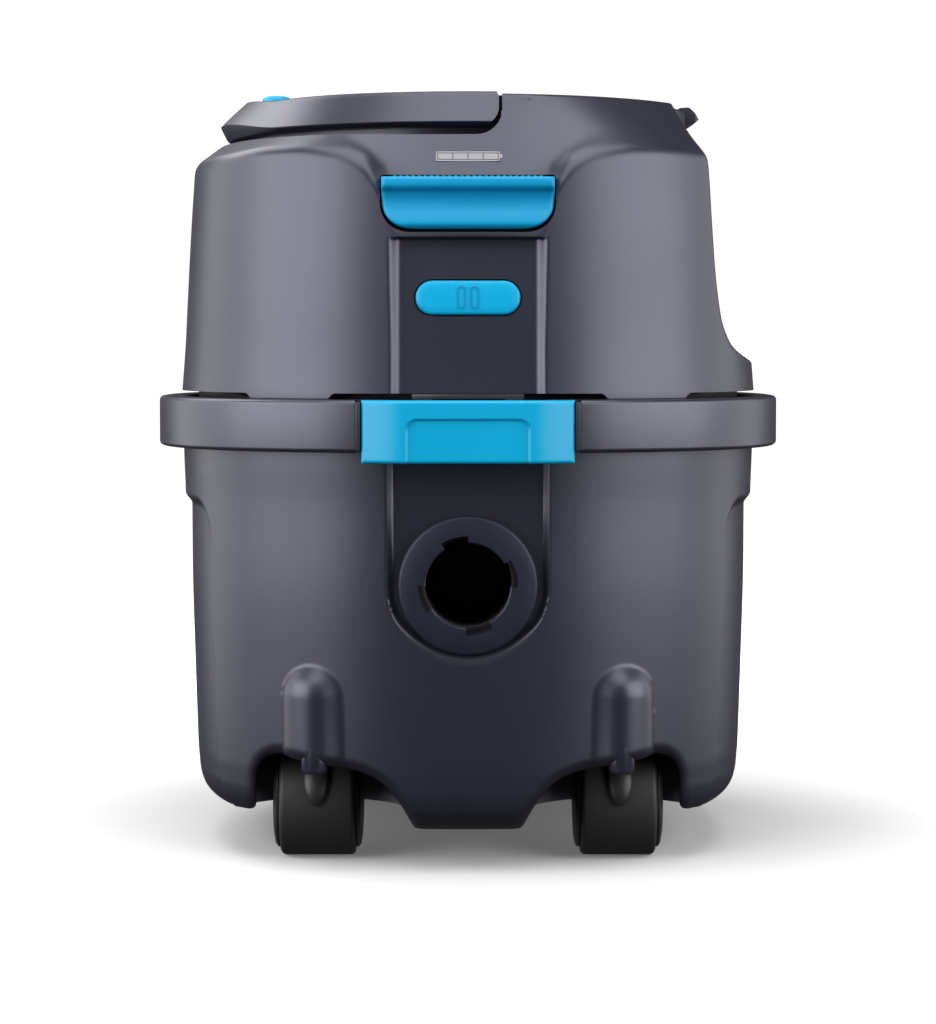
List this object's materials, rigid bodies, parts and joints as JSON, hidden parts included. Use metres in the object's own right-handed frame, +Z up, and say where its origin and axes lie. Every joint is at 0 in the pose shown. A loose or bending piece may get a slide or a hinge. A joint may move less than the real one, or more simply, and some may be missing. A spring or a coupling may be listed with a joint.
{
  "type": "tub vacuum cleaner",
  "caption": "Compact battery-powered tub vacuum: hinged motor head on a dust tub, front hose inlet, blue latch, pedal and button, bumper ring, swivel casters.",
  "frame": {"origin": "on the floor at the centre of the bounding box", "axes": "+Z up, -Y the front with the hose inlet, +X to the right as seen from the front"},
  "size_m": [0.34, 0.362, 0.4004],
  "materials": {
    "body_plastic": "fine-textured satin, slate grey",
    "dark_plastic": "satin, near black",
    "blue_plastic": "satin, bright blue",
    "caster_black": "satin black",
    "wheel_rubber": "smooth",
    "seal_rubber": "soft",
    "steel": "turned",
    "motor_metal": "cast",
    "bag_paper": "paper fleece",
    "filter_fabric": "pleated fleece",
    "board_green": "lacquered board",
    "gauge_grey": "printed lens"
  },
  "bodies": {
    "tub": {"tub_shell": "body_plastic", "bumper_ring": "body_plastic", "ring_end_left": "dark_plastic", "ring_end_right": "dark_plastic", "inlet_collar": "body_plastic", "inlet_pipe": "dark_plastic", "bag_plate": "bag_paper", "dust_bag": "bag_paper", "latch_catch": "dark_plastic", "hinge_bracket": "dark_plastic", "hinge_pin": "steel", "bracket_screw_left": "steel", "bracket_screw_right": "steel"},
    "head": {"head_shell": "body_plastic", "hinge_arm": "dark_plastic", "arm_screw_left": "steel", "arm_screw_right": "steel", "motor_deck": "dark_plastic", "rim_seal": "seal_rubber", "motor_filter": "filter_fabric", "filter_ring": "dark_plastic", "motor_case": "dark_plastic", "stator": "motor_metal", "exhaust_duct": "dark_plastic", "exhaust_filter": "filter_fabric", "exhaust_grille": "dark_plastic", "battery_tray": "dark_plastic", "battery_pack": "dark_plastic", "circuit_board": "board_green", "power_switch": "caster_black", "battery_gauge": "gauge_grey", "latch_bracket": "dark_plastic", "latch_pin": "steel", "pedal_pin": "steel", "lid_hinge_pin": "steel", "handle_pin_front": "steel", "handle_pin_rear": "steel"},
    "rotor": {"impeller": "motor_metal", "motor_shaft": "steel"},
    "front_latch": {"front_latch": "blue_plastic"},
    "foot_pedal": {"foot_pedal": "blue_plastic"},
    "power_button": {"power_button": "blue_plastic"},
    "battery_lid": {"battery_lid": "body_plastic"},
    "lid_release_button": {"lid_release_button": "blue_plastic"},
    "carry_handle": {"carry_handle": "body_plastic"},
    "caster_front_left": {"caster_fork_front_left": "caster_black", "caster_axle_front_left": "steel"},
    "wheel_front_left": {"caster_wheel_front_left": "wheel_rubber"},
    "caster_front_right": {"caster_fork_front_right": "caster_black", "caster_axle_front_right": "steel"},
    "wheel_front_right": {"caster_wheel_front_right": "wheel_rubber"},
    "caster_rear_left": {"caster_fork_rear_left": "caster_black", "caster_axle_rear_left": "steel"},
    "wheel_rear_left": {"caster_wheel_rear_left": "wheel_rubber"},
    "caster_rear_right": {"caster_fork_rear_right": "caster_black", "caster_axle_rear_right": "steel"},
    "wheel_rear_right": {"caster_wheel_rear_right": "wheel_rubber"}
  },
  "joints": [
    {"name": "head_hinge", "type": "hinge", "parent": "tub", "child": "head", "pos_m": [0, 0.1725, 0.2465], "axis": [-1, 0, 0], "range_deg": [0, 75]},
    {"name": "motor_spin", "type": "hinge", "parent": "head", "child": "rotor", "pos_m": [0, 0, 0.27], "axis": [0, 0, 1], "continuous": true},
    {"name": "latch_hinge", "type": "hinge", "parent": "head", "child": "front_latch", "pos_m": [0, -0.1685, 0.233], "axis": [-1, 0, 0], "range_deg": [0, 65]},
    {"name": "pedal_hinge", "type": "hinge", "parent": "head", "child": "foot_pedal", "pos_m": [0, -0.1435, 0.335], "axis": [1, 0, 0], "range_deg": [0, 6], "stiffness_Nm_per_rad": 6, "springref_deg": -2.86},
    {"name": "power_button_slide", "type": "slide", "parent": "head", "child": "power_button", "axis": [0, 0.9971, -0.0767], "range_m": [0, 0.003], "stiffness_N_per_m": 400, "springref_m": -0.001},
    {"name": "lid_hinge", "type": "hinge", "parent": "head", "child": "battery_lid", "pos_m": [0.0125, 0, 0.388], "axis": [0, 1, 0], "range_deg": [0, 75]},
    {"name": "lid_button_slide", "type": "slide", "parent": "battery_lid", "child": "lid_release_button", "axis": [0, 0, -1], "range_m": [0, 0.003], "stiffness_N_per_m": 300, "springref_m": -0.001},
    {"name": "handle_hinge", "type": "hinge", "parent": "head", "child": "carry_handle", "pos_m": [0.03, 0, 0.3865], "axis": [0, -1, 0], "range_deg": [0, 86]},
    {"name": "caster_swivel_front_left", "type": "hinge", "parent": "tub", "child": "caster_front_left", "pos_m": [-0.0776, -0.079, 0.07], "axis": [0, 0, 1], "continuous": true},
    {"name": "wheel_spin_front_left", "type": "hinge", "parent": "caster_front_left", "child": "wheel_front_left", "pos_m": [-0.0776, -0.091, 0.03], "axis": [1, 0, 0], "continuous": true},
    {"name": "caster_swivel_front_right", "type": "hinge", "parent": "tub", "child": "caster_front_right", "pos_m": [0.0776, -0.079, 0.07], "axis": [0, 0, 1], "continuous": true},
    {"name": "wheel_spin_front_right", "type": "hinge", "parent": "caster_front_right", "child": "wheel_front_right", "pos_m": [0.0776, -0.091, 0.03], "axis": [1, 0, 0], "continuous": true},
    {"name": "caster_swivel_rear_left", "type": "hinge", "parent": "tub", "child": "caster_rear_left", "pos_m": [-0.0776, 0.079, 0.07], "axis": [0, 0, 1], "continuous": true},
    {"name": "wheel_spin_rear_left", "type": "hinge", "parent": "caster_rear_left", "child": "wheel_rear_left", "pos_m": [-0.0776, 0.091, 0.03], "axis": [1, 0, 0], "continuous": true},
    {"name": "caster_swivel_rear_right", "type": "hinge", "parent": "tub", "child": "caster_rear_right", "pos_m": [0.0776, 0.079, 0.07], "axis": [0, 0, 1], "continuous": true},
    {"name": "wheel_spin_rear_right", "type": "hinge", "parent": "caster_rear_right", "child": "wheel_rear_right", "pos_m": [0.0776, 0.091, 0.03], "axis": [1, 0, 0], "continuous": true}
  ]
}
